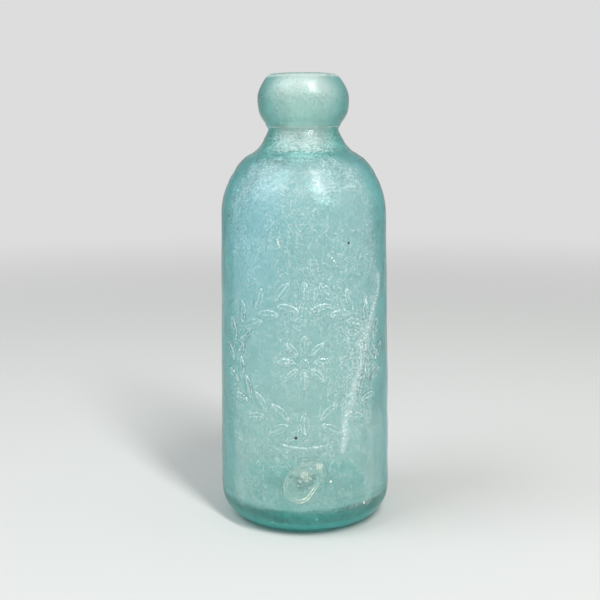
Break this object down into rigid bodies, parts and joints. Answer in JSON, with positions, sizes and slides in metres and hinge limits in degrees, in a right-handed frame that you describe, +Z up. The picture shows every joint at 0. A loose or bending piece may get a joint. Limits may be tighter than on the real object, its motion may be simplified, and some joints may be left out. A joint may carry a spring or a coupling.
{
  "type": "soda bottle",
  "caption": "Thick-walled aqua glass soda bottle with a round shoulder, a short neck and a tooled blob lip; holds a drink and pours it through a plain round mouth.",
  "frame": {"origin": "middle of the base, on the surface that the bottle stands on", "axes": "+Z up along the bottle's axis and out of its mouth; -Y is the embossed front; the mould seams run up the +X and -X sides"},
  "size_m": [0.0672, 0.0668, 0.1715],
  "materials": {
    "aqua_glass": "old aqua glass, clear but hazed by fine scratches and staining"
  },
  "bodies": {
    "root": {"bottle": "aqua_glass"}
  },
  "joints": []
}
